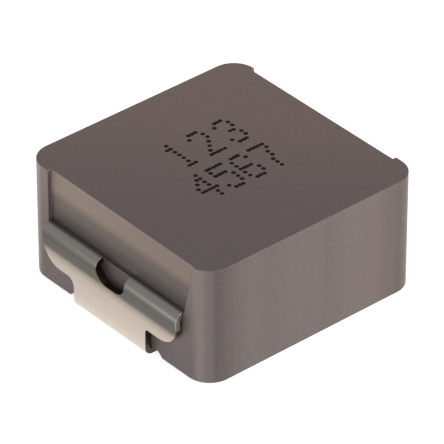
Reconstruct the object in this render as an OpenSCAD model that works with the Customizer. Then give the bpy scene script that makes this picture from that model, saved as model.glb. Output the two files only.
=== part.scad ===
// Shielded surface-mount power inductor.
// A coil of enamelled round wire is pressed inside one block of bonded iron powder, which is core and
// shield at once. Each end of the wire is welded to a tinned copper strip that leaves the block at half
// height, folds down over the side face and turns under the block as a solder foot.
// +X runs from one terminal to the other, +Z is up, and Z = 0 is the plane of the solder feet.

/* [Moulded body] */
// Side of the square block, without the terminals
body_side = 12.5; // [12:0.1:14]
// Height of the block
body_h = 6.03; // [5.8:0.01:7]
// Radius of the four upright corners
corner_r = 1.2; // [0.6:0.05:1.8]
// Height of the block's underside above the solder feet
standoff = 0.1; // [0.05:0.01:0.2]

/* [Relief above each terminal] */
// Depth of the left relief at its upright end
relief_depth_upright = 0.22; // [0.12:0.01:0.3]
// Depth of the left relief at its leaning end
relief_depth_leaning = 0.14; // [0.1:0.01:0.3]
// Lean of the left relief's leaning end, in degrees from upright
relief_lean = 13; // [0:0.5:15]
// Depth of the right relief, at both ends
right_relief_depth = 0.2; // [0.12:0.01:0.3]
// Lean of the right relief's leaning end, in degrees from upright
right_relief_lean = 6; // [0:0.5:15]
// Draft of the reliefs' faces, in degrees
relief_draft = 1.2; // [0:0.1:2]
// Distance from the middle of the block to a relief's upright end
relief_upright_end = 4.67; // [4.6:0.01:5]
// Distance from the middle of the block to a relief's leaning end, at the ledge
relief_leaning_end = 4.72; // [4.6:0.01:5]

/* [Terminal strip] */
// Thickness of the strip
strip_t = 0.28; // [0.2:0.01:0.35]
// Height of the strip's middle plane where it leaves the block
lead_z = 3.28; // [3:0.01:3.6]
// Width of the upper part of the strip
tab_w = 9.3; // [8.6:0.1:9.3]
// Distance between the block's side face and the upright plate
plate_gap = 0.09; // [0.05:0.01:0.2]
// Inner radius of the bend where the strip turns down
shoulder_r = 0.22; // [0.15:0.01:0.3]
// Angle by which that bend is folded past upright
over_bend = 5; // [2:0.5:7]
// Length of the leaning run below the bend
leaning_run = 0.6; // [0.4:0.05:0.8]
// Inner radius of the slight set that brings the plate upright again
set_r = 0.7; // [0.5:0.05:1]
// Length of the strip inside the block
tab_inside = 1.35; // [1.3:0.05:1.5]

/* [Keying hole, punched where the strip leaves the block] */
// Width of the hole
key_hole_w = 1.96; // [1.6:0.02:2.4]
// Length of the hole along the strip
key_hole_l = 2.16; // [1.6:0.02:2.4]
// Radius of the hole's corners
key_hole_r = 0.7; // [0.2:0.05:0.75]
// Distance from the middle of the strip to the middle of the hole
key_hole_y = -0.12; // [-0.3:0.02:0.3]

/* [Terminal plate and foot] */
// Height of the wide part's lower edge
wing_z = 1.49; // [1.3:0.01:1.8]
// Radius of the wide part's lower corners
wing_r = 1.2; // [0.8:0.05:1.3]
// Width of the narrow part and of the foot
foot_w = 5; // [4:0.1:5.4]
// Radius of the inside corner beside the narrow part, at the relief's upright end
notch_r_back = 0.45; // [0.2:0.05:0.6]
// Radius of the inside corner beside the narrow part, at the relief's leaning end
notch_r_front = 0.15; // [0.1:0.05:0.6]
// Inner radius of the bend above the foot
foot_r = 0.15; // [0.1:0.01:0.25]
// Length of the foot, from the plate's outer face inward
foot_len = 2.3; // [1.8:0.1:2.6]

/* [Foot pocket] */
// Depth of the pocket in the block's underside
pocket_depth = 0.23; // [0.22:0.01:0.4]
// Clear width beside the foot, at the pocket's roof
pocket_side = 0.44; // [0.2:0.02:0.6]
// Clear length beyond the end of the foot
pocket_end = 0.3; // [0.2:0.05:0.6]
// Slope of the pocket's side walls, in degrees from upright
pocket_slope = 50; // [20:5:60]

/* [Winding] */
// Diameter of the enamelled wire
wire_d = 0.8; // [0.6:0.05:0.85]
// Space between neighbouring turns
turn_gap = 0.04; // [0.03:0.01:0.06]
// Inner diameter of the winding
coil_bore = 4.8; // [4:0.1:5.2]
// Whole turns in the inner layer
inner_turns = 4; // [3:1:4]
// Length of powder between the end of the wire and the side face
end_cover = 0.55; // [0.4:0.05:0.7]
// Length of wire that lies level under the strip, where it is welded
weld_len = 0.4; // [0.3:0.05:0.5]
// Space left between the wire and the strip it is welded to
weld_gap = 0.01; // [0.005:0.005:0.02]

/* [Fits inside the block] */
// Clearance around the strip where the powder is pressed onto it
strip_fit = 0.02; // [0.01:0.01:0.04]
// Clearance around the winding
coil_fit = 0.05; // [0.04:0.01:0.1]

/* [Hidden] */

$fn = 96;
eps = 0.01;                                   // overshoot of a cut past the face it opens
arc_step = 5;                                 // degrees between the points of a bend

// Moulded body
half_side = body_side / 2;
body_top = standoff + body_h;
ledge_z = lead_z + strip_t / 2;               // the ledge is flush with the top of the strip
relief_h = body_top - ledge_z;
relief_span = relief_upright_end + relief_leaning_end;
relief_reach = body_side;                     // size of the block that cuts the relief

// Terminal strip, in the X-Z plane: middle radii, bend centres and the straight runs between them
plate_x = half_side + plate_gap + strip_t / 2;
plate_out_x = plate_x + strip_t / 2;
shoulder_mid_r = shoulder_r + strip_t / 2;
set_mid_r = set_r + strip_t / 2;
foot_mid_r = foot_r + strip_t / 2;
tab_inner_x = half_side - tab_inside;
set_x = plate_x + set_mid_r;
leg_end_x = set_x - set_mid_r * cos(over_bend);
shoulder_x = leg_end_x + leaning_run * sin(over_bend) - shoulder_mid_r * cos(over_bend);
shoulder_z = lead_z - shoulder_mid_r;
leg_top_z = shoulder_z - shoulder_mid_r * sin(over_bend);
leg_end_z = leg_top_z - leaning_run * cos(over_bend);
set_z = leg_end_z - set_mid_r * sin(over_bend);
foot_bend_x = plate_x - foot_mid_r;
foot_bend_z = foot_mid_r + strip_t / 2;
foot_end_x = plate_out_x - foot_len;
strip_out_x = shoulder_x + shoulder_r + strip_t;
bend_inside = max(half_side - shoulder_x, 0); // part of the shoulder bend that lies inside the block
exit_drop = shoulder_r - sqrt(shoulder_r ^ 2 - bend_inside ^ 2);

// Keying hole: the punched hole is centred on the block's side face, so its lower half wraps the bend
shoulder_arc = shoulder_mid_r * (90 + over_bend) * PI / 180;
key_hole_z = leg_top_z + shoulder_arc - (half_side - shoulder_x);

// Winding: turns rise in the inner layer and come back down in the outer one
turn_pitch = wire_d + turn_gap;
inner_layer_r = coil_bore / 2 + wire_d / 2;
outer_layer_r = inner_layer_r + turn_pitch;
crossing = 0.25;                              // share of a turn in which the wire steps outward
outer_turns = inner_turns - 1 - crossing;     // the whole winding is a whole number of turns
coil_h = inner_turns * turn_pitch + wire_d;
first_turn_z = standoff + (body_h - coil_h) / 2 + wire_d / 2;
last_turn_z = first_turn_z + turn_pitch * (inner_turns - outer_turns);
weld_z = lead_z - strip_t / 2 - weld_gap - wire_d / 2;
wire_end_x = half_side - end_cover;
weld_x = wire_end_x - weld_len;
wire_sides = 8;
steps_per_turn = 20;
lead_steps = 8;
clear_of_turns_x = sqrt((outer_layer_r + turn_pitch / 2) ^ 2 - (inner_layer_r - turn_pitch / 2) ^ 2);
winding_r = outer_layer_r + wire_d / 2 + coil_fit;
start_angle = 270;                            // both leads leave along X from the -Y side

// A half wave from 0 to 1, level at both ends
function ease(u) = (1 - cos(180 * u)) / 2;

// Centre line of a lead, from the weld under the strip to its turn at X = 0: level at both ends, with an
// easy rise between. A spare length reaches past the wire's own end.
function lead_path(y, turn_z, rise_x, spare = 0) = [
    [wire_end_x + spare, y, weld_z],
    for (k = [0 : lead_steps]) let (u = k / lead_steps)
        [weld_x + (rise_x - weld_x) * u, y, weld_z + (turn_z - weld_z) * ease(u)],
    if (rise_x > 0) [0, y, turn_z]
];
function start_lead(spare = 0) = [
    for (p = lead_path(-inner_layer_r, first_turn_z, clear_of_turns_x, spare)) [-p.x, p.y, p.z]
];
function end_lead(spare = 0) = lead_path(-outer_layer_r, last_turn_z, 0, spare);

// Centre line of the turns, between the two leads: inner layer, step outward, outer layer
function turn_point(r, turn, z) = [
    r * cos(start_angle + 360 * turn), r * sin(start_angle + 360 * turn), z
];
function inner_layer() = [
    for (k = [1 : inner_turns * steps_per_turn]) let (turn = k / steps_per_turn)
        turn_point(inner_layer_r, turn, first_turn_z + turn * turn_pitch)
];
function outer_layer() = [
    for (k = [1 : crossing * steps_per_turn]) let (u = k / (crossing * steps_per_turn))
        turn_point(inner_layer_r + u * turn_pitch, u * crossing, first_turn_z + inner_turns * turn_pitch),
    for (k = [1 : outer_turns * steps_per_turn - 1]) let (turn = k / steps_per_turn)
        turn_point(outer_layer_r, crossing + turn, first_turn_z + (inner_turns - turn) * turn_pitch)
];
function unit(v) = v / norm(v);

// A round wire along a path: one ring of points at each path point, joined by quads
module round_wire(path, d) {
    last = len(path) - 1;
    rings = [
        for (i = [0 : last])
            let (along = unit(path[min(i + 1, last)] - path[max(i - 1, 0)]),
                 side = unit(cross(along, [0, 0, 1])),
                 up = cross(side, along))
            for (k = [0 : wire_sides - 1]) let (a = 360 * k / wire_sides)
                path[i] + d / 2 * (cos(a) * side + sin(a) * up)
    ];
    walls = [
        for (i = [0 : last - 1], k = [0 : wire_sides - 1])
            let (n = (k + 1) % wire_sides, a = i * wire_sides, b = a + wire_sides)
                [a + k, a + n, b + n, b + k]
    ];
    start_cap = [[for (k = [wire_sides - 1 : -1 : 0]) k]];
    end_cap = [[for (k = [0 : wire_sides - 1]) last * wire_sides + k]];
    polyhedron(rings, concat(walls, start_cap, end_cap));
}

// A block with four round upright corners, standing on z = 0
module rounded_block(x, y, r, h) {
    translate([-x / 2, r - y / 2, 0]) cube([x, y - 2 * r, h]);
    translate([r - x / 2, -y / 2, 0]) cube([x - 2 * r, y, h]);
    for (sx = [-1, 1], sy = [-1, 1])
        translate([sx * (x / 2 - r), sy * (y / 2 - r), 0]) cylinder(r = r, h = h);
}

// The shallow relief in the +X side face, from the ledge up through the top, with its upright end at +Y
// and its leaning end at -Y. Its face turns and leans a little.
module relief_cut(upright_depth, leaning_depth, lean) {
    yaw = atan((upright_depth - leaning_depth) / relief_span);
    intersection() {
        translate([half_side - upright_depth, relief_upright_end, body_top])
            rotate([0, 0, yaw]) rotate([0, -relief_draft, 0])
                translate([0, -relief_reach, -relief_reach / 2]) cube(relief_reach);
        translate([half_side + eps, 0, 0]) rotate([0, -90, 0]) linear_extrude(half_side)
            polygon([
                [ledge_z, relief_upright_end],
                [body_top + eps, relief_upright_end],
                [body_top + eps, -relief_leaning_end - (relief_h + eps) * tan(lean)],
                [ledge_z, -relief_leaning_end]
            ]);
    }
}

// The pocket under the +X edge that the foot lies in, open to the side and to the underside
module foot_pocket() {
    half_w = foot_w / 2 + pocket_side;
    flare = (pocket_depth + eps) * tan(pocket_slope);
    translate([half_side + eps, 0, standoff]) rotate([0, -90, 0])
        linear_extrude(half_side + eps - foot_end_x + pocket_end)
            polygon([
                [-eps, -half_w - flare], [-eps, half_w + flare],
                [pocket_depth, half_w], [pocket_depth, -half_w]
            ]);
}

// The room that the winding and its two leads take up inside the block
module winding_room() {
    translate([0, 0, first_turn_z - wire_d / 2 - coil_fit])
        difference() {
            cylinder(r = winding_r, h = coil_h + 2 * coil_fit);
            translate([0, 0, -eps])
                cylinder(d = coil_bore - 2 * coil_fit, h = coil_h + 2 * coil_fit + 2 * eps);
        }
    lead_room(start_lead(coil_fit));
    lead_room(end_lead(coil_fit));
}

// One edge of a lead's room, at a distance s beside its centre line in the X-Z plane
function lead_edge(path, s) = let (last = len(path) - 1) [
    for (i = [0 : last]) let (along = unit(path[min(i + 1, last)] - path[max(i - 1, 0)]))
        [path[i].x - s * along.z, path[i].z + s * along.x]
];

// The room of one lead, from the winding out to the weld under the strip
module lead_room(path) {
    room_r = wire_d / 2 + coil_fit;
    translate([0, path[0].y, 0]) rotate([90, 0, 0])
        linear_extrude(2 * room_r, center = true)
            polygon(concat(lead_edge(path, room_r), reversed(lead_edge(path, -room_r))));
}

// Points along an arc in the X-Z plane, from angle a0 to a1 above +X
function arc(x, z, r, a0, a1) =
    let (steps = ceil(abs(a1 - a0) / arc_step))
    [for (k = [0 : steps]) let (a = a0 + (a1 - a0) * k / steps) [x + r * cos(a), z + r * sin(a)]];

// One face of the folded strip seen from the side, at a distance s outward of its middle plane:
// flat tab, shoulder bend, leaning run, set, upright plate, foot bend and foot
function strip_face(s) = concat(
    [[tab_inner_x, lead_z + s]],
    arc(shoulder_x, shoulder_z, shoulder_mid_r + s, 90, -over_bend),
    arc(set_x, set_z, set_mid_r - s, 180 - over_bend, 180),
    arc(foot_bend_x, foot_bend_z, foot_mid_r + s, 0, -90),
    [[foot_end_x, strip_t / 2 - s]]
);
function reversed(list) = [for (i = [len(list) - 1 : -1 : 0]) list[i]];

// The strip folded to its side profile, still at one width all the way
module folded_strip(w) {
    rotate([90, 0, 0]) linear_extrude(w, center = true)
        polygon(concat(strip_face(strip_t / 2), reversed(strip_face(-strip_t / 2))));
}

// A prism along X whose outline in Y-Z is the strip's: a wide part with round lower corners, an inside
// corner on each side, and the narrow part below
module strip_outline() {
    half_w = tab_w / 2;
    reach = strip_out_x + eps;
    translate([0, -half_w, wing_z + wing_r]) cube([reach, tab_w, lead_z + strip_t - wing_z - wing_r]);
    translate([0, -half_w + wing_r, wing_z]) cube([reach, tab_w - 2 * wing_r, wing_r + eps]);
    for (side = [-1, 1])
        translate([0, side * (half_w - wing_r), wing_z + wing_r]) rotate([0, 90, 0])
            cylinder(r = wing_r, h = reach);
    translate([0, -foot_w / 2, -eps]) cube([reach, foot_w, wing_z + 2 * eps]);
    notch_fillet(1, notch_r_back, reach);
    notch_fillet(-1, notch_r_front, reach);
}

// Metal left in an inside corner beside the narrow part
module notch_fillet(side, r, reach) {
    difference() {
        translate([0, side > 0 ? foot_w / 2 - eps : -foot_w / 2 - r, wing_z - r])
            cube([reach, r + eps, r + eps]);
        translate([-eps, side * (foot_w / 2 + r), wing_z - r])
            rotate([0, 90, 0]) cylinder(r = r, h = reach + 2 * eps);
    }
}

// The keying hole, upright through the flat strip and level through the folded part
module key_hole() {
    translate([half_side, key_hole_y, lead_z - strip_t])
        rounded_block(key_hole_l, key_hole_w, key_hole_r, 2 * strip_t);
    translate([half_side, key_hole_y, key_hole_z]) rotate([0, 90, 0])
        rounded_block(key_hole_l, key_hole_w, key_hole_r, strip_out_x);
}

// One terminal, as it sits on the +X side
module terminal() {
    difference() {
        intersection() {
            folded_strip(tab_w);
            strip_outline();
        }
        key_hole();
    }
}

// The slot that the flat strip fills inside the block, with the powder left standing in the hole. Its
// floor drops a little at the side face, where the strip already begins to turn down.
module strip_room() {
    room_t = strip_t + 2 * strip_fit;
    room_end = tab_inner_x - strip_fit;
    floor_z = lead_z - room_t / 2;
    plug_w = key_hole_w - 2 * strip_fit;
    plug_l = key_hole_l - 2 * strip_fit;
    difference() {
        rotate([90, 0, 0]) linear_extrude(tab_w + 2 * strip_fit, center = true)
            polygon([
                [room_end, floor_z + room_t],
                [half_side + eps, floor_z + room_t],
                [half_side + eps, floor_z - exit_drop],
                [half_side - bend_inside, floor_z],
                [room_end, floor_z]
            ]);
        translate([half_side, key_hole_y, lead_z - room_t])
            rounded_block(plug_l, plug_w, key_hole_r - strip_fit, 2 * room_t);
    }
}

// The left end is the +X end mirrored in X and the right end is the +X end mirrored in Y, so that the two
// ends of the part are a half turn of each other.
module moulded_body() {
    color([0.41, 0.37, 0.36])
        difference() {
            translate([0, 0, standoff]) rounded_block(body_side, body_side, corner_r, body_h);
            mirror([1, 0, 0]) {
                relief_cut(relief_depth_upright, relief_depth_leaning, relief_lean);
                foot_pocket();
                strip_room();
            }
            mirror([0, 1, 0]) {
                relief_cut(right_relief_depth, right_relief_depth, right_relief_lean);
                foot_pocket();
                strip_room();
            }
            winding_room();
        }
}

module coil_winding() {
    color([0.72, 0.38, 0.18])
        round_wire(concat(start_lead(), inner_layer(), outer_layer(), reversed(end_lead())), wire_d);
}

module terminal_left() {
    color([0.8, 0.77, 0.71]) mirror([1, 0, 0]) terminal();
}

module terminal_right() {
    color([0.8, 0.77, 0.71]) mirror([0, 1, 0]) terminal();
}

moulded_body();
coil_winding();
terminal_left();
terminal_right();
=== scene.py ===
# %% [markdown]
# # A moulded power inductor on a studio table
#
# The real part is a square block of iron powder, pressed around a coil of enamelled wire. Two strips of
# tinned copper leave the block at half height, fold down over its sides and turn under it as feet.
# The frame already holds this part as a CAD model, in metres and in its true place. This lesson gives it
# its looks: small round edges, folded metal, printed numbers, finishes, a floor and light.
#
# We load the frame first and print the names of its nodes.

# %% Load the frame
import math
import random

import bpy
from mathutils import Matrix, Vector


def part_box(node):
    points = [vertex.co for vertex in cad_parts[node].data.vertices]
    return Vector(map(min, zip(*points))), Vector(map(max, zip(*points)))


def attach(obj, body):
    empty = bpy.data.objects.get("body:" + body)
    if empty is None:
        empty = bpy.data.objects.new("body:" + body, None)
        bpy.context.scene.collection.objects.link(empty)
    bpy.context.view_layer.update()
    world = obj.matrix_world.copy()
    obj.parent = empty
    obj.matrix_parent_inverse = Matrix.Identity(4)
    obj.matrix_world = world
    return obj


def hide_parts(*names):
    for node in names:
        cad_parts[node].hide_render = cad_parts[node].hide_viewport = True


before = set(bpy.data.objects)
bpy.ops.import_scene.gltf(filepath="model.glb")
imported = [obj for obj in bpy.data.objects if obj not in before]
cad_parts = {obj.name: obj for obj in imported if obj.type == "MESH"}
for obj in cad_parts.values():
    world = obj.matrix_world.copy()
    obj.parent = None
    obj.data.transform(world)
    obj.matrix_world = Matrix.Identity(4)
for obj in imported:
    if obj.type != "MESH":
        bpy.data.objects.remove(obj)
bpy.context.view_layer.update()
print("nodes:", sorted(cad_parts))

# %% [markdown]
# ## Working in millimetres
#
# Blender's bevel and boolean tools have small built-in tolerances that suit things about a metre wide.
# On a part 12 mm wide they get coarse. So each piece is modelled with one unit for one millimetre, and
# only when it is done is it shrunk to metres, with its origin at zero as the frame wants it.
#
# The helpers below do what a hand would do: make one object the only selected one, pick faces or edges
# by where they are, cut with another shape, and finish a piece. Places less than CLOSE apart count as the
# same, and a cutting tool stands out of the block by TOOL_MARGIN.

# %% Helpers for modelling
MM = 0.001
CLOSE = 0.01
TOOL_MARGIN = 1


def only(piece):
    """Makes one object active, with nothing else selected."""
    bpy.ops.object.select_all(action="DESELECT")
    piece.select_set(True)
    bpy.context.view_layer.objects.active = piece


def box_piece(name, low, high):
    """Adds a cube primitive that fills the space between two corners."""
    bpy.ops.object.select_all(action="DESELECT")
    bpy.ops.mesh.primitive_cube_add(size=1)
    piece = bpy.context.object
    piece.name = name
    piece.location = [(a + b) / 2 for a, b in zip(low, high)]
    piece.scale = [b - a for a, b in zip(low, high)]
    bpy.ops.object.transform_apply(location=True, rotation=True, scale=True)
    return piece


def pick(piece, kind, test):
    """Goes into edit mode with only the vertices, edges or faces selected whose middle passes a test."""
    only(piece)
    bpy.ops.object.mode_set(mode="EDIT")
    bpy.ops.mesh.select_mode(type=kind)
    bpy.ops.mesh.select_all(action="DESELECT")
    bpy.ops.object.mode_set(mode="OBJECT")
    mesh = piece.data
    points = [v.co for v in mesh.vertices]
    parts = {"VERT": mesh.vertices, "EDGE": mesh.edges, "FACE": mesh.polygons}[kind]
    found = 0
    for part in parts:
        corners = [points[part.index]] if kind == "VERT" else [points[i] for i in part.vertices]
        middle = sum(corners, Vector()) / len(corners)
        part.select = bool(test(middle, corners))
        found += part.select
    bpy.ops.object.mode_set(mode="EDIT")
    return found


def leave_edit_mode():
    bpy.ops.object.mode_set(mode="OBJECT")


def use_tool(piece, tool, operation="DIFFERENCE"):
    """Cuts a piece with another shape, or keeps only what both share, and throws the tool away."""
    step = piece.modifiers.new("cut", "BOOLEAN")
    step.operation = operation
    step.solver = "EXACT"
    step.object = tool
    only(piece)
    bpy.ops.object.modifier_apply(modifier=step.name)
    bpy.data.objects.remove(tool, do_unlink=True)


def mirrored_copy(piece, name, axis):
    """Copies a piece with its own mesh, mirrored along an axis (0 for X, 1 for Y), with its faces outward."""
    twin = piece.copy()
    twin.data = piece.data.copy()
    twin.name = name
    bpy.context.collection.objects.link(twin)
    twin.scale[axis] = -1
    only(twin)
    bpy.ops.object.transform_apply(location=True, rotation=True, scale=True)
    bpy.ops.object.mode_set(mode="EDIT")
    bpy.ops.mesh.select_all(action="SELECT")
    bpy.ops.mesh.normals_make_consistent(inside=False)
    leave_edit_mode()
    return twin


def merge_doubles(piece, distance):
    only(piece)
    bpy.ops.object.mode_set(mode="EDIT")
    bpy.ops.mesh.select_all(action="SELECT")
    bpy.ops.mesh.remove_doubles(threshold=distance)
    leave_edit_mode()


def round_small_edges(piece, width, steps=3, sharper_than=32):
    """Gives every sharp edge a small radius, and keeps the shading of the flat faces flat."""
    only(piece)
    bpy.ops.object.shade_smooth()
    bevel = piece.modifiers.new("small_radius", "BEVEL")
    bevel.width = width
    bevel.segments = steps
    bevel.limit_method = "ANGLE"
    bevel.angle_limit = math.radians(sharper_than)
    bevel.use_clamp_overlap = False
    bpy.ops.object.modifier_apply(modifier=bevel.name)
    shading = piece.modifiers.new("flat_faces", "WEIGHTED_NORMAL")
    shading.weight = 60
    bpy.ops.object.modifier_apply(modifier=shading.name)


def to_metres(piece):
    only(piece)
    bpy.ops.object.transform_apply(location=True, rotation=True, scale=True)
    piece.scale = (MM, MM, MM)
    bpy.ops.object.transform_apply(location=True, rotation=True, scale=True)
    piece.data.name = piece.name
    print(piece.name, "has", len(piece.data.polygons), "faces")


print("helpers ready, one unit is", MM, "m")

# %% [markdown]
# ## The powder block
#
# Iron powder and resin are pressed in a square die with round corners. The die leaves the four upright
# edges with a radius of 1.2 mm and all other edges nearly sharp.
# We take the block's size from its CAD node, start with a cube of that size, and bevel the four upright
# edges. The top face is set a few thousandths of a millimetre low, which is the thickness of the ink
# that is printed on it later.

# %% Press the block
block_low, block_high = [[v / MM for v in corner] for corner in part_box("moulded_body")]
half_side = block_high[0]
block_top = block_high[2]
ink_thickness = 0.004
corner_radius = 1.2

unprinted_top = block_top - ink_thickness
powder_block = box_piece("powder_block", block_low, (block_high[0], block_high[1], unprinted_top))
uprights = pick(powder_block, "EDGE", lambda middle, corners: abs(corners[0].z - corners[1].z) > 1)
bpy.ops.mesh.bevel(offset=corner_radius, segments=24, profile=0.5, affect="EDGES")
leave_edit_mode()
print("bevelled", uprights, "upright edges of a block", round(2 * half_side, 3), "mm wide")

# %% [markdown]
# ## The reliefs above the terminals
#
# A slide in the die holds each strip while the powder is pressed. It leaves a shallow relief in the side
# face, from the strip up to the top. The face of a relief leans by about a degree so that the slide comes
# free. One end of it is upright and the other leans outward.
# The tool for the cut is a cube. Its corners are moved one pair at a time to give it these slopes. The part
# is nearly the same after half a turn: what is made at +X is mirrored in X for the left end, and in Y for
# the right end. Only the reliefs differ a little: the left one is deeper at one end, and leans more.

# %% Cut the two reliefs
ledge_z = 3.42
upright_end_y = 4.67
leaning_end_y = -4.72
relief_draft = math.radians(1.2)
above_top = 0.3
relief_height = block_top - ledge_z
tool_height = relief_height + above_top


def relief_tool(upright_depth, leaning_depth, lean):
    """The cutting block for a relief in the +X face, with its upright end at +Y."""
    tool = box_piece(
        "relief_tool",
        (half_side - upright_depth, leaning_end_y, ledge_z),
        (half_side + TOOL_MARGIN, upright_end_y, ledge_z + tool_height),
    )
    lean_shift = tool_height * math.tan(lean)
    pick(tool, "VERT", lambda middle, corners: middle.z > block_top and middle.y < 0)
    bpy.ops.transform.translate(value=(0, -lean_shift, 0))
    leave_edit_mode()
    depth_change = (upright_depth - leaning_depth) / (upright_end_y - leaning_end_y)
    for place_y in (leaning_end_y, leaning_end_y - lean_shift):
        pick(
            tool,
            "VERT",
            lambda middle, corners: middle.x < half_side and abs(middle.y - place_y) < CLOSE,
        )
        bpy.ops.transform.translate(value=((upright_end_y - place_y) * depth_change, 0, 0))
        leave_edit_mode()
    pick(tool, "VERT", lambda middle, corners: middle.x < half_side and middle.z < block_top)
    bpy.ops.transform.translate(value=(relief_height * math.tan(relief_draft), 0, 0))
    leave_edit_mode()
    return tool


for axis, depths, lean in ((0, (0.22, 0.14), 13), (1, (0.2, 0.2), 6)):
    base_tool = relief_tool(*depths, math.radians(lean))
    use_tool(powder_block, mirrored_copy(base_tool, "turned_tool", axis))
    bpy.data.objects.remove(base_tool, do_unlink=True)
    print("relief", depths, "mm deep, with an end that leans", lean, "degrees")

# %% [markdown]
# ## The pockets for the feet
#
# Under each side the block has a shallow pocket with sloping walls, so that the foot lies in it and stands
# only a tenth of a millimetre below the block. The tool is a box again, whose lower edges are spread out.

# %% Cut the two foot pockets
pocket_depth = 0.23
pocket_half_width = 2.94
pocket_inner_x = 4.02
pocket_slope = math.radians(50)
block_bottom = block_low[2]

pocket_tool = box_piece(
    "pocket_tool",
    (pocket_inner_x, -pocket_half_width, block_bottom - pocket_depth),
    (half_side + TOOL_MARGIN, pocket_half_width, block_bottom + pocket_depth),
)
for side in (-1, 1):
    pick(
        pocket_tool,
        "VERT",
        lambda middle, corners: middle.z < block_bottom and middle.y * side > 0,
    )
    bpy.ops.transform.translate(value=(0, side * 2 * pocket_depth * math.tan(pocket_slope), 0))
    leave_edit_mode()
other_pocket_tool = mirrored_copy(pocket_tool, "other_pocket_tool", 0)
use_tool(powder_block, pocket_tool)
use_tool(powder_block, other_pocket_tool)
print("pockets are", pocket_depth, "mm deep")

# %% [markdown]
# ## The folded strip
#
# Each terminal is one strip of copper, 0.28 mm thick. A press folds it: over a round shoulder a little past
# upright, then straight inward and down for a short run, a slight set the other way that makes the plate
# upright again, and last a tight bend under the block for the foot.
# We do the same with a box for the flat part and its end face: spin turns the face around the axis of a
# bend, and extrude pulls it along a straight run. The strip is a little wider here than it will be, because
# a boolean works best where no two faces lie in one plane.

# %% Fold the strip
strip_t = 0.28
strip_half_width = 4.65
uncut_half_width = 4.8
strip_mid_z = ledge_z - strip_t / 2
strip_start_x = half_side - 1.35
plate_gap = 0.09
plate_mid_x = half_side + plate_gap + strip_t / 2
shoulder_radius = 0.22 + strip_t / 2
set_radius = 0.7 + strip_t / 2
foot_radius = 0.15 + strip_t / 2
over_bend = math.radians(5)
leaning_run = 0.6
foot_length = 2.3

set_x = plate_mid_x + set_radius
leg_end_x = set_x - set_radius * math.cos(over_bend)
shoulder_x = leg_end_x + leaning_run * math.sin(over_bend) - shoulder_radius * math.cos(over_bend)
shoulder_z = strip_mid_z - shoulder_radius
leg_top_z = shoulder_z - shoulder_radius * math.sin(over_bend)
leg_end_z = leg_top_z - leaning_run * math.cos(over_bend)
set_z = leg_end_z - set_radius * math.sin(over_bend)
foot_x = plate_mid_x - foot_radius
foot_z = foot_radius + strip_t / 2
foot_end_x = plate_mid_x + strip_t / 2 - foot_length


def bend(degrees_per_step, angle, centre):
    """Turns the selected end face about an axis along Y: forward (+Z towards +X) for a positive angle."""
    steps = max(2, round(abs(math.degrees(angle)) / degrees_per_step))
    bpy.ops.mesh.spin(steps=steps, angle=-angle, center=centre, axis=(0, 1, 0))


def pull(x, z):
    bpy.ops.mesh.extrude_region_move(TRANSFORM_OT_translate={"value": (x, 0, z)})


folded_strip = box_piece(
    "folded_strip",
    (strip_start_x, -uncut_half_width, strip_mid_z - strip_t / 2),
    (shoulder_x, uncut_half_width, strip_mid_z + strip_t / 2),
)
pick(folded_strip, "FACE", lambda middle, corners: middle.x > shoulder_x - 0.001)
bend(4, math.pi / 2 + over_bend, (shoulder_x, 0, shoulder_z))
pull(-leaning_run * math.sin(over_bend), -leaning_run * math.cos(over_bend))
bend(1, -over_bend, (set_x, 0, set_z))
pull(0, foot_z - set_z)
bend(6, math.pi / 2, (foot_x, 0, foot_z))
pull(foot_end_x - foot_x, 0)
bpy.ops.mesh.select_all(action="SELECT")
bpy.ops.mesh.normals_make_consistent(inside=False)
leave_edit_mode()
strip_points = [v.co for v in folded_strip.data.vertices]
print("strip reaches x", round(max(p.x for p in strip_points), 3), "and z",
      round(min(p.z for p in strip_points), 4), "to", round(max(p.z for p in strip_points), 3))

# %% [markdown]
# ## The outline of the strip
#
# The strip is punched from sheet with a wide upper part and a narrow lower one. The wide part has round
# lower corners. The inside corners beside the narrow part have a larger radius on one side than on the
# other. We make this outline as a thick plate seen from the side: a box, split with two bisect cuts, with
# the middle of its lower face pulled down. Bevels then round its corners, and a boolean keeps only the
# metal inside it.

# %% Trim the strip to its outline
wide_part_z = 1.49
wide_corner_radius = 1.2
narrow_half_width = 2.5
inner_corner_radii = {1: 0.45, -1: 0.15}
tool_reach = 8

outline_tool = box_piece(
    "outline_tool",
    (0, -strip_half_width, wide_part_z),
    (tool_reach, strip_half_width, ledge_z + TOOL_MARGIN),
)
for side in (-1, 1):
    only(outline_tool)
    bpy.ops.object.mode_set(mode="EDIT")
    bpy.ops.mesh.select_all(action="SELECT")
    bpy.ops.mesh.bisect(plane_co=(0, side * narrow_half_width, 0), plane_no=(0, 1, 0))
    leave_edit_mode()
pick(
    outline_tool,
    "FACE",
    lambda middle, corners: abs(middle.z - wide_part_z) < CLOSE and abs(middle.y) < 1,
)
bpy.ops.mesh.extrude_region_move(TRANSFORM_OT_translate={"value": (0, 0, -wide_part_z - 0.1)})
leave_edit_mode()


def round_lower_edges(tool, place_y, radius):
    """Rounds the edge of the outline that runs along X at this Y, at the height of the wide part."""
    found = pick(
        tool,
        "EDGE",
        lambda middle, corners: abs(middle.y - place_y) < CLOSE and abs(middle.z - wide_part_z) < CLOSE,
    )
    bpy.ops.mesh.bevel(offset=radius, segments=16, profile=0.5, affect="EDGES")
    leave_edit_mode()
    return found


rounded = 0
for side in (-1, 1):
    rounded += round_lower_edges(outline_tool, side * narrow_half_width, inner_corner_radii[side])
    rounded += round_lower_edges(outline_tool, side * strip_half_width, wide_corner_radius)
use_tool(folded_strip, outline_tool, "INTERSECT")
print("rounded", rounded, "corners of the outline")

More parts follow.
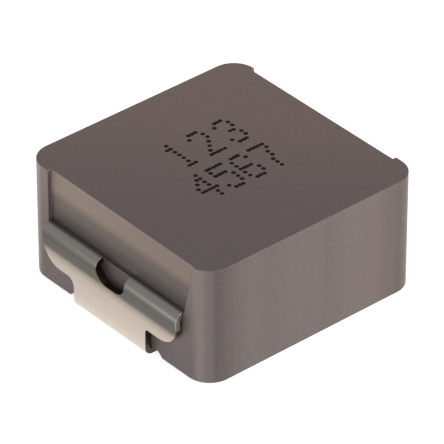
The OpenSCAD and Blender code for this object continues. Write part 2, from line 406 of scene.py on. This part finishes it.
# %% [markdown]
# ## The keying hole
#
# A hole is punched in the strip where it leaves the block, so that powder fills its inner half and holds
# the strip. The fold runs through the hole, which therefore wraps the shoulder.
# Two punches with rounded corners cut it: one upright, through the flat part, and one level, through the
# folded part.

# %% Punch the keying hole
hole_width = 1.96
hole_length = 2.16
hole_corner_radius = 0.7
hole_y = -0.12
shoulder_arc = shoulder_radius * (math.pi / 2 + over_bend)
hole_z = leg_top_z + shoulder_arc - (half_side - shoulder_x)


def punch(name, low, high, along):
    """A box whose four edges along one axis (0, 1 or 2 for X, Y or Z) are rounded."""
    tool = box_piece(name, low, high)
    pick(tool, "EDGE", lambda middle, corners: abs(corners[0][along] - corners[1][along]) > 0.1)
    bpy.ops.mesh.bevel(offset=hole_corner_radius, segments=12, profile=0.5, affect="EDGES")
    leave_edit_mode()
    return tool


hole_sides = (hole_y - hole_width / 2, hole_y + hole_width / 2)
hole_bottom_z = hole_z - hole_length / 2
upright_low = (half_side - hole_length / 2, hole_sides[0], hole_bottom_z + hole_corner_radius)
upright_high = (half_side + hole_length / 2, hole_sides[1], strip_mid_z + strip_t)
use_tool(folded_strip, punch("upright_punch", upright_low, upright_high, 2))
use_tool(folded_strip, punch(
    "level_punch",
    (half_side - 0.02, hole_sides[0], hole_bottom_z),
    (tool_reach, hole_sides[1], hole_bottom_z + 2 * hole_length),
    0,
))
merge_doubles(folded_strip, 0.012)
print("hole is", hole_width, "by", hole_length, "mm")

# %% [markdown]
# The strip lies in the block like an insert in a mould. So the block gets a slot for it on each side, with
# powder left standing where the hole is. The slot's roof is a hundredth of a millimetre above the strip,
# which gives the fine dark line where metal meets powder.
# Then every edge of the block gets the small radius that a pressed part has.

# %% Cut the two slots for the strips
slot_play = 0.01
slot_below_strip = 0.05
slot_past_side = 0.5
slot_tool = box_piece(
    "slot_tool",
    (strip_start_x, -strip_half_width - slot_play, strip_mid_z - strip_t / 2 - slot_below_strip),
    (half_side + slot_past_side, strip_half_width + slot_play, ledge_z + slot_play),
)
plug_low = (upright_low[0] + slot_play, upright_low[1] + slot_play, 0)
plug_high = (upright_high[0] - slot_play, upright_high[1] - slot_play, block_top)
use_tool(slot_tool, punch("powder_plug", plug_low, plug_high, 2))
for axis in (0, 1):
    use_tool(powder_block, mirrored_copy(slot_tool, "turned_tool", axis))
bpy.data.objects.remove(slot_tool, do_unlink=True)
merge_doubles(powder_block, 0.03)
round_small_edges(powder_block, width=0.025)
to_metres(powder_block)

# %% [markdown]
# Both terminals are this strip. The left one is its mirror image in X and the right one its mirror image in
# Y, each with its own mesh. Mirroring turns a shape inside out, which is why the copies' faces are turned
# outward again. After that both get the tiny radius that a punched and tinned edge has.

# %% Finish both strips
left_strip = mirrored_copy(folded_strip, "folded_strip_left", 0)
right_strip = mirrored_copy(folded_strip, "folded_strip_right", 1)
bpy.data.objects.remove(folded_strip, do_unlink=True)
for strip in (left_strip, right_strip):
    round_small_edges(strip, width=0.02)
    to_metres(strip)

# %% [markdown]
# ## The printed numbers
#
# An ink-jet printer marks such a part with round dots in a grid of 5 by 7. The digits here are plain ones.
# The dots run into each other within a row and stand apart between rows, as the printer moves along X.
# One dot is modelled, a short cylinder whose upper edge is rounded, and copied to each place with a small
# change of size and place, as ink does.

# %% Print the numbers
DIGITS = {
    "1": ("..#..", ".##..", "..#..", "..#..", "..#..", "..#..", ".###."),
    "2": (".###.", "#...#", "....#", "...#.", "..#..", ".#...", "#####"),
    "3": (".###.", "#...#", "....#", "..##.", "....#", "#...#", ".###."),
    "4": ("...#.", "..##.", ".#.#.", "#..#.", "#####", "...#.", "...#."),
    "5": ("#####", "#....", "####.", "....#", "....#", "#...#", ".###."),
    "6": (".###.", "#...#", "#....", "####.", "#...#", "#...#", ".###."),
    "7": ("#####", "....#", "...#.", "...#.", "..#..", "..#..", "..#.."),
}
dot_radius = 0.115
dot_depth = 0.02
dot_edge = 0.012
place_spread = 0.012
column_pitch = 0.2
row_pitch = 0.305
lines = (("123", -1.4, 1.5, 2.68), ("4567", -2.13, 1.24, 0.03))

bpy.ops.object.select_all(action="DESELECT")
bpy.ops.mesh.primitive_cylinder_add(vertices=16, radius=dot_radius, depth=dot_depth)
dot = bpy.context.object
dot.name = "ink_dot"
pick(dot, "EDGE", lambda middle, corners: min(c.z for c in corners) > 0)
bpy.ops.mesh.bevel(offset=dot_edge, segments=2, profile=0.6, affect="EDGES")
leave_edit_mode()

chance = random.Random(11)
dots = []
for text, first_x, digit_pitch, top_row_y in lines:
    for place, digit in enumerate(text):
        for row, marks in enumerate(DIGITS[digit]):
            for column, mark in enumerate(marks):
                if mark == ".":
                    continue
                copy = dot.copy()
                copy.data = dot.data.copy()
                bpy.context.collection.objects.link(copy)
                size = chance.uniform(0.94, 1.06)
                copy.scale = (size, size, 1)
                dot_x = first_x + place * digit_pitch + column * column_pitch
                dot_y = top_row_y - row * row_pitch
                copy.location = (
                    dot_x + chance.uniform(-place_spread, place_spread),
                    dot_y + chance.uniform(-place_spread, place_spread),
                    block_top - dot_depth / 2,
                )
                dots.append(copy)
bpy.data.objects.remove(dot, do_unlink=True)
bpy.ops.object.select_all(action="DESELECT")
for copy in dots:
    copy.select_set(True)
bpy.context.view_layer.objects.active = dots[0]
bpy.ops.object.join()
printed_numbers = bpy.context.object
printed_numbers.name = "printed_numbers"
to_metres(printed_numbers)
print("printed", len(dots), "dots")

# %% [markdown]
# ## What rides on what
#
# Nothing moves, so each piece rides on the one body, the root. The block and the strips stand for their
# CAD nodes, which are hidden. The coil is shown as the CAD node itself.

# %% Tell the frame about the pieces
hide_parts("moulded_body")
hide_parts("terminal_right")
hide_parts("terminal_left")
for piece, slot in (
    (powder_block, "powder_composite"),
    (left_strip, "tinned_copper"),
    (right_strip, "tinned_copper"),
    (printed_numbers, "powder_composite"),
):
    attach(piece, "root")
print("pieces ride on the root")

# %% [markdown]
# ## Node helpers and shared effects
#
# Two effects are used by several finishes, so each is a node group with its own inputs.
# Speckle is a fine noise, like grains in powder or pores in ink. Streaks is a noise drawn out along Z, like
# the marks that a die or a roller leaves. Both read Object coordinates, so that they keep
# their real size and stay put.

# %% Build the node groups


def link(tree, source, target):
    tree.links.new(source, target)


def calculate(tree, operation, *values, clamp=False):
    """A Math node. Each value is a number with a point or another node's output."""
    node = tree.nodes.new("ShaderNodeMath")
    node.operation = operation
    node.use_clamp = clamp
    for socket, value in zip(node.inputs, values):
        if isinstance(value, float):
            socket.default_value = value
        else:
            link(tree, value, socket)
    return node.outputs[0]


def new_group(name, **inputs):
    """A node group with numbers going in, given with their defaults, and a mask coming out."""
    tree = bpy.data.node_groups.new(name, "ShaderNodeTree")
    for label, value in inputs.items():
        socket = tree.interface.new_socket(
            name=label.replace("_", " "), in_out="INPUT", socket_type="NodeSocketFloat"
        )
        socket.default_value = value
    tree.interface.new_socket(name="Mask", in_out="OUTPUT", socket_type="NodeSocketFloat")
    return tree, tree.nodes.new("NodeGroupInput")


def put_out_noise(tree, place, scale, contrast, detail):
    """Reads a noise at a place, widens it about its middle and makes it the group's mask."""
    noise = tree.nodes.new("ShaderNodeTexNoise")
    noise.inputs["Detail"].default_value = detail
    link(tree, place, noise.inputs["Vector"])
    link(tree, scale, noise.inputs["Scale"])
    centred = calculate(tree, "SUBTRACT", noise.outputs["Fac"], 0.5)
    widened = calculate(tree, "MULTIPLY_ADD", centred, contrast, 0.5, clamp=True)
    link(tree, widened, tree.nodes.new("NodeGroupOutput").inputs["Mask"])


def speckle_group():
    """Grains of a given number per metre, with a given contrast."""
    tree, given = new_group("speckle", Grains_per_Metre=8000.0, Contrast=2.0)
    place = tree.nodes.new("ShaderNodeTexCoord").outputs["Object"]
    put_out_noise(tree, place, given.outputs["Grains per Metre"], given.outputs["Contrast"], 3.0)
    return tree


def streaks_group():
    """Marks drawn out along Z, with a given number per metre across."""
    tree, given = new_group("streaks", Marks_per_Metre=2000.0, Squeeze_Z=0.05, Contrast=2.0)
    place = tree.nodes.new("ShaderNodeTexCoord").outputs["Object"]
    squeeze = tree.nodes.new("ShaderNodeCombineXYZ")
    squeeze.inputs["X"].default_value = 1.0
    squeeze.inputs["Y"].default_value = 1.0
    link(tree, given.outputs["Squeeze Z"], squeeze.inputs["Z"])
    drawn = tree.nodes.new("ShaderNodeVectorMath")
    drawn.operation = "MULTIPLY"
    link(tree, place, drawn.inputs[0])
    link(tree, squeeze.outputs[0], drawn.inputs[1])
    put_out_noise(tree, drawn.outputs[0], given.outputs["Marks per Metre"], given.outputs["Contrast"], 4.0)
    return tree


speckle = speckle_group()
streaks = streaks_group()


def new_finish(name, roughness, metallic=0.0):
    """A material with its Principled BSDF, ready for links."""
    material = bpy.data.materials.new(name)
    material.use_nodes = True
    shader = material.node_tree.nodes["Principled BSDF"]
    shader.inputs["Roughness"].default_value = roughness
    shader.inputs["Metallic"].default_value = metallic
    return material, material.node_tree, shader


def effect(tree, group, **values):
    """Places a node group in a material and sets its inputs. Words are joined by _ in place of spaces."""
    node = tree.nodes.new("ShaderNodeGroup")
    node.node_tree = group
    for name, value in values.items():
        node.inputs[name.replace("_", " ")].default_value = value
    return node.outputs["Mask"]


def blend_colours(tree, mask, low, high):
    """Puts a mask through two colours. A colour may be a tuple or another node's output."""
    mix = tree.nodes.new("ShaderNodeMix")
    mix.data_type = "RGBA"
    link(tree, mask, mix.inputs[0])
    for socket, colour in ((mix.inputs[6], low), (mix.inputs[7], high)):
        if isinstance(colour, tuple):
            socket.default_value = (*colour, 1.0)
        else:
            link(tree, colour, socket)
    return mix.outputs[2]


def blend_values(tree, mask, low, high):
    spread = tree.nodes.new("ShaderNodeMapRange")
    spread.inputs["To Min"].default_value = low
    spread.inputs["To Max"].default_value = high
    link(tree, mask, spread.inputs["Value"])
    return spread.outputs["Result"]


def along(tree, axis, size_only=False):
    """The place along one axis, in metres. With size_only, both sides of the middle read the same."""
    place = tree.nodes.new("ShaderNodeTexCoord")
    parts = tree.nodes.new("ShaderNodeSeparateXYZ")
    link(tree, place.outputs["Object"], parts.inputs[0])
    return calculate(tree, "ABSOLUTE", parts.outputs[axis]) if size_only else parts.outputs[axis]


def facing(tree, axis):
    """How much a face looks along an axis, either way: 1 when it looks straight along it."""
    place = tree.nodes.new("ShaderNodeTexCoord")
    parts = tree.nodes.new("ShaderNodeSeparateXYZ")
    link(tree, place.outputs["Normal"], parts.inputs[0])
    return calculate(tree, "ABSOLUTE", parts.outputs[axis])


def rise(tree, value, low, high):
    """A smooth mask that goes from 0 to 1 as a value goes from low to high."""
    spread = tree.nodes.new("ShaderNodeMapRange")
    spread.interpolation_type = "SMOOTHSTEP"
    spread.inputs["From Min"].default_value = low
    spread.inputs["From Max"].default_value = high
    link(tree, value, spread.inputs["Value"])
    return spread.outputs["Result"]


def fall(tree, value, low, high):
    """A smooth mask that goes from 1 to 0 as a value goes from low to high."""
    mask = rise(tree, value, low, high)
    mask.node.inputs["To Min"].default_value = 1.0
    mask.node.inputs["To Max"].default_value = 0.0
    return mask


def side_sign(tree):
    """1 on the left end, where X is below zero, and -1 on the right end, which is turned half a turn."""
    return calculate(tree, "MULTIPLY", calculate(tree, "SIGN", along(tree, "X")), -1.0)


def beside_hole(tree):
    """The distance along Y from the middle of the keying hole, on both ends of the part."""
    offset = calculate(tree, "MULTIPLY_ADD", side_sign(tree), -hole_y * MM, along(tree, "Y"))
    return calculate(tree, "ABSOLUTE", offset)


def colour_by(tree, value, low, high, stops):
    """A colour that changes with a value. The first stop is the lowest, the second is the highest."""
    spread = tree.nodes.new("ShaderNodeMapRange")
    spread.inputs["From Min"].default_value = low
    spread.inputs["From Max"].default_value = high
    link(tree, value, spread.inputs["Value"])
    ramp = tree.nodes.new("ShaderNodeValToRGB")
    ramp.color_ramp.interpolation = "EASE"
    for number, (where, colour) in enumerate(stops):
        spot = (where - low) / (high - low)
        if number < 2:
            stop = ramp.color_ramp.elements[number]
            stop.position = spot
        else:
            stop = ramp.color_ramp.elements.new(spot)
        stop.color = (*colour, 1.0)
    link(tree, spread.outputs["Result"], ramp.inputs["Fac"])
    return ramp.outputs["Color"]


def tint(tree, colour, filter_colour, mask=None):
    """Multiplies one colour by another, everywhere or only where a mask is 1."""
    mix = tree.nodes.new("ShaderNodeMix")
    mix.data_type = "RGBA"
    mix.blend_type = "MULTIPLY"
    mix.clamp_result = False
    mix.inputs[0].default_value = 1.0
    if mask is not None:
        link(tree, mask, mix.inputs[0])
    link(tree, colour, mix.inputs[6])
    if isinstance(filter_colour, tuple):
        mix.inputs[7].default_value = (*filter_colour, 1.0)
    else:
        link(tree, filter_colour, mix.inputs[7])
    return mix.outputs[2]


def times(tree, first, *others):
    """Multiplies masks, so that the result is 1 only where all of them are."""
    product = first
    for mask in others:
        product = calculate(tree, "MULTIPLY", product, mask, clamp=True)
    return product


def bump(tree, shader, height, strength, distance):
    relief = tree.nodes.new("ShaderNodeBump")
    relief.inputs["Strength"].default_value = strength
    relief.inputs["Distance"].default_value = distance
    link(tree, height, relief.inputs["Height"])
    link(tree, relief.outputs["Normal"], shader.inputs["Normal"])


print("node groups:", [tree.name for tree in bpy.data.node_groups])

# %% [markdown]
# ## Pressed powder
#
# The block is grey-brown, from iron grains coated with resin. It has a soft shine. Close up it shows
# grains about a tenth of a millimetre wide, and its tone warms slowly from one corner to the opposite one.
# The side faces carry upright drag marks from the die. The colour also holds painted light and shade: a
# painted highlight on the round corners, the faces with the terminals painted paler above, and painted shade
# that darkens each relief towards the ledge and the powder in the keying hole.

# %% Finish the block
powder, tree, shader = new_finish("powder_composite", 0.45)
grains = effect(tree, speckle, Grains_per_Metre=9000.0, Contrast=2.2)
drag_marks = effect(tree, streaks, Marks_per_Metre=1200.0, Squeeze_Z=0.02, Contrast=2.4)
diagonal = calculate(tree, "ADD", along(tree, "X"), along(tree, "Y"))
filling = rise(tree, diagonal, -0.010, 0.010)
tone = blend_colours(tree, filling, (0.098, 0.079, 0.083), (0.142, 0.105, 0.099))
upright_face = fall(tree, facing(tree, "Z"), 0.3, 0.6)
dragged = tint(tree, tone, (0.86, 0.85, 0.83), times(tree, drag_marks, upright_face))

# Beside the round corners: a painted highlight in the curve, and painted shade where the curve meets the
# front and the back.
# A ramp's colours stop at 1, so the shades are halved in it and doubled after it
curve_middle = (half_side - corner_radius) * MM
curve_x = calculate(tree, "SUBTRACT", along(tree, "X", True), curve_middle)
curve_y = calculate(tree, "SUBTRACT", along(tree, "Y", True), curve_middle)
turn = calculate(tree, "ARCTAN2", curve_y, curve_x)
painted_corner_light_levels = ((0, 1.1), (140, 1.0), (28, 1.9), (48, 1.15), (66, 0.66), (90, 0.68), (112, 0.82))
painted_corner_light_stops = [(math.radians(angle), (shade / 2,) * 3) for angle, shade in painted_corner_light_levels]
painted_corner_light_ramp = colour_by(tree, turn, 0.0, math.pi, painted_corner_light_stops)
doubled = tree.nodes.new("ShaderNodeVectorMath")
doubled.operation = "SCALE"
doubled.inputs["Scale"].default_value = 2.0
link(tree, painted_corner_light_ramp, doubled.inputs[0])
with_painted_corner_light = tint(tree, dragged, doubled.outputs[0], upright_face)

# The faces with the terminals: painted light makes them paler above, and in the relief painted shade makes
# them dark near the ledge
end_face = rise(tree, facing(tree, "X"), 0.9, 0.98)
height = along(tree, "Z")
painted_end_light = colour_by(tree, height, 0.0, 0.00613, [
    (0.0004, (0.92, 0.88, 0.85)),
    (0.0060, (1.50, 1.42, 1.28)),
    (0.0030, (1.10, 1.04, 1.00)),
])
ended = tint(tree, with_painted_corner_light, painted_end_light, end_face)
in_relief = times(
    tree,
    end_face,
    fall(tree, along(tree, "X", True), 0.00618, 0.00622),
    fall(tree, along(tree, "Y", True), 0.00531, 0.00534),
    rise(tree, height, ledge_z * MM - 0.00001, ledge_z * MM),
)
# Painted light and shade in the relief: pale at the top, nearly black at the ledge
painted_relief_shade = colour_by(tree, height, 0.0034, 0.00613, [
    (0.00342, (0.020, 0.013, 0.012)),
    (0.0061, (0.225, 0.172, 0.138)),
    (0.0038, (0.034, 0.023, 0.019)),
    (0.0046, (0.105, 0.078, 0.064)),
    (0.0053, (0.235, 0.175, 0.135)),
])
# More painted shade: the relief darkens towards its leaning end
towards_upright = calculate(tree, "MULTIPLY", along(tree, "Y"), side_sign(tree))
relief_side = rise(tree, towards_upright, -0.0048, 0.0048)
painted_relief_side_shade = blend_colours(tree, relief_side, (0.80, 0.78, 0.80), (1.0, 1.0, 1.0))
relieved = blend_colours(tree, in_relief, ended, tint(tree, painted_relief_shade, painted_relief_side_shade))

# The powder that shows through the keying hole is painted dark, as painted shade inside the hole
hole_half_width = hole_width / 2 * MM
in_hole = times(
    tree,
    fall(tree, beside_hole(tree), hole_half_width, hole_half_width + 0.00004),
    rise(tree, height, 0.0022, 0.0023),
    fall(tree, height, 0.003425, 0.00344),
)
hole_with_painted_shade = blend_colours(tree, in_hole, relieved, (0.045, 0.031, 0.031))
flecked = tint(tree, hole_with_painted_shade, (0.82, 0.82, 0.82), grains)
link(tree, flecked, shader.inputs["Base Color"])
link(tree, blend_values(tree, grains, 0.4, 0.5), shader.inputs["Roughness"])
bump(tree, shader, grains, 0.1, 0.00001)
powder_block.data.materials.clear()
powder_block.data.materials.append(powder)
print("finish:", powder.name)

# %% [markdown]
# ## Tinned copper
#
# Matte tin is a warm, pale metal. The roller leaves faint lines along the strip. On the shoulder and just
# below it the tin is darker, with a painted highlight along the bend, and the plate grows paler towards the
# foot.

# %% Finish the strips
tin, tree, shader = new_finish("tinned_copper", 0.34, metallic=1.0)
height = along(tree, "Z")
# The tone by height: a painted highlight along the bend, a dark band below it, and a plate that grows paler
# towards the foot
sloping = calculate(tree, "MULTIPLY_ADD", along(tree, "Y"), -0.008, height)
tin_tone_with_painted_highlight = colour_by(tree, sloping, 0.0, 0.0035, [
    (0.0003, (0.65, 0.595, 0.52)),
    (0.0034, (0.42, 0.40, 0.38)),
    (0.0010, (0.56, 0.495, 0.435)),
    (0.0018, (0.50, 0.435, 0.375)),
    (0.00205, (0.40, 0.345, 0.30)),
    (0.00243, (0.105, 0.094, 0.085)),
    (0.0029, (0.092, 0.086, 0.078)),
    (0.00305, (0.155, 0.15, 0.14)),
    (0.0032, (0.46, 0.45, 0.42)),
])
roller_lines = effect(tree, streaks, Marks_per_Metre=5000.0, Squeeze_Z=0.04, Contrast=1.6)
fine_grain = effect(tree, speckle, Grains_per_Metre=14000.0, Contrast=1.6)
rolled = tint(tree, tin_tone_with_painted_highlight, (0.93, 0.925, 0.915), roller_lines)

# The sheared edges: pale at the strip's two ends; in the hole and beside the narrow part, painted shade makes
# them nearly black
strip_end = rise(tree, along(tree, "Y", True), 0.00462, 0.004645)
ended = blend_colours(tree, strip_end, rolled, (0.38, 0.355, 0.32))
hole_wall = times(
    tree,
    fall(tree, beside_hole(tree), hole_half_width + 0.000005, hole_half_width + 0.000015),
    rise(tree, height, 0.0022, 0.00222),
    fall(tree, facing(tree, "X"), 0.5, 0.8),
)
narrow_edge = times(
    tree,
    rise(tree, facing(tree, "Y"), 0.6, 0.85),
    fall(tree, height, 0.00145, 0.0015),
    fall(tree, along(tree, "Y", True), 0.0030, 0.0032),
)
with_painted_hole_wall_shade = blend_colours(tree, hole_wall, ended, (0.06, 0.052, 0.036))
with_painted_narrow_edge_shade = blend_colours(tree, narrow_edge, with_painted_hole_wall_shade, (0.075, 0.07, 0.06))
link(tree, with_painted_narrow_edge_shade, shader.inputs["Base Color"])
link(tree, blend_values(tree, fine_grain, 0.3, 0.4), shader.inputs["Roughness"])
bump(tree, shader, roller_lines, 0.06, 0.00001)
for strip in (left_strip, right_strip):
    strip.data.materials.clear()
    strip.data.materials.append(tin)
print("finish:", tin.name)

# %% [markdown]
# ## Enamelled copper and printing ink
#
# The coil inside is copper under a thin clear enamel, so it is a reddish metal with a glossy coat. Drawing
# the wire leaves it slightly uneven in tone. The ink is nearly black and matte, with fine pores.

# %% Finish the coil and the ink
enamel, tree, shader = new_finish("enamelled_copper", 0.3, metallic=1.0)
tarnish = effect(tree, speckle, Grains_per_Metre=1200.0, Contrast=2.0)
link(
    tree,
    blend_colours(tree, tarnish, (0.5, 0.17, 0.06), (0.66, 0.27, 0.11)),
    shader.inputs["Base Color"],
)
shader.inputs["Coat Weight"].default_value = 0.8
shader.inputs["Coat Roughness"].default_value = 0.12
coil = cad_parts["coil_winding"]
coil.data.materials.clear()
coil.data.materials.append(enamel)

ink, tree, shader = new_finish("printing_ink", 0.8)
shader.inputs["Specular IOR Level"].default_value = 0.15
pores = effect(tree, speckle, Grains_per_Metre=16000.0, Contrast=2.0)
link(
    tree,
    blend_colours(tree, pores, (0.004, 0.003, 0.003), (0.011, 0.007, 0.007)),
    shader.inputs["Base Color"],
)
printed_numbers.data.materials.clear()
printed_numbers.data.materials.append(ink)
print("finishes:", enamel.name, "and", ink.name)

# %% [markdown]
# ## Floor and light
#
# The part stands on a white table that glows a little from below, as a light table does, so that shadows
# on it stay faint. A large warm soft box at the front right lights the front face, a weaker one at the left
# lights the side with the terminal, and one overhead lights the top. The rest of the room is dim grey,
# which keeps the top face darker than the front.

# %% Build the studio
bpy.ops.object.select_all(action="DESELECT")
bpy.ops.mesh.primitive_plane_add(size=3.0)
floor = bpy.context.object
floor.name = "studio_floor"
paper, tree, shader = new_finish("white_table", 0.9)
shader.inputs["Base Color"].default_value = (0.4, 0.4, 0.4, 1.0)
shader.inputs["Specular IOR Level"].default_value = 0.1
shader.inputs["Emission Color"].default_value = (1.0, 0.99, 0.98, 1.0)
shader.inputs["Emission Strength"].default_value = 0.84
floor.data.materials.append(paper)

part_middle = Vector((0, 0, 0.003))
lamp_distance = 0.5


def soft_box(name, direction, size, power, colour):
    """A rectangular area light that faces the part from a direction."""
    lamp = bpy.data.lights.new(name, "AREA")
    lamp.shape = "RECTANGLE"
    lamp.size, lamp.size_y = size
    lamp.energy = power
    lamp.color = colour
    stand = bpy.data.objects.new(name, lamp)
    bpy.context.collection.objects.link(stand)
    towards = Vector(direction).normalized()
    stand.location = part_middle + towards * lamp_distance
    stand.rotation_euler = towards.to_track_quat("Z", "Y").to_euler()


soft_box("key_front_right", (0.35, -0.85, 0.40), (0.4, 0.3), 2.8, (1.0, 0.90, 0.77))
soft_box("fill_left", (-0.97, -0.2, 0.15), (0.25, 0.25), 0.75, (1.0, 0.92, 0.84))
soft_box("overhead", (-0.2, -0.1, 0.95), (0.4, 0.4), 0.85, (0.97, 0.98, 1.0))

room = bpy.data.worlds.new("dim_room")
room.use_nodes = True
room.node_tree.nodes["Background"].inputs["Color"].default_value = (0.36, 0.35, 0.35, 1.0)
bpy.context.scene.world = room
bpy.context.scene.view_settings.view_transform = "Standard"

# %% [markdown]
# ## The camera
#
# A long lens from 21 cm away, at the front left and 35 degrees above the table, keeps the block's edges
# nearly parallel. The camera looks at a point near the middle of the block.

# %% Place the camera
azimuth = math.radians(-40.6311)
elevation = math.radians(34.7111)
distance = 0.210079
look_at = Vector((0, 0, 0.00297))
slide_right, slide_up = -0.0000023, -0.0000142

back = Vector((
    math.sin(azimuth) * math.cos(elevation),
    -math.cos(azimuth) * math.cos(elevation),
    math.sin(elevation),
))
right = Vector((math.cos(azimuth), math.sin(azimuth), 0))
up = back.cross(right)
lens = bpy.data.cameras.new("portrait_lens")
lens.sensor_width = 36.0
lens.lens = 378.19
lens.clip_start = 0.01
lens.clip_end = 10.0
camera = bpy.data.objects.new("camera", lens)
bpy.context.collection.objects.link(camera)
camera.rotation_euler = Matrix((right, up, back)).transposed().to_euler()
camera.location = look_at + back * distance + right * slide_right + up * slide_up
bpy.context.scene.camera = camera
print("camera at", [round(v, 4) for v in camera.location])
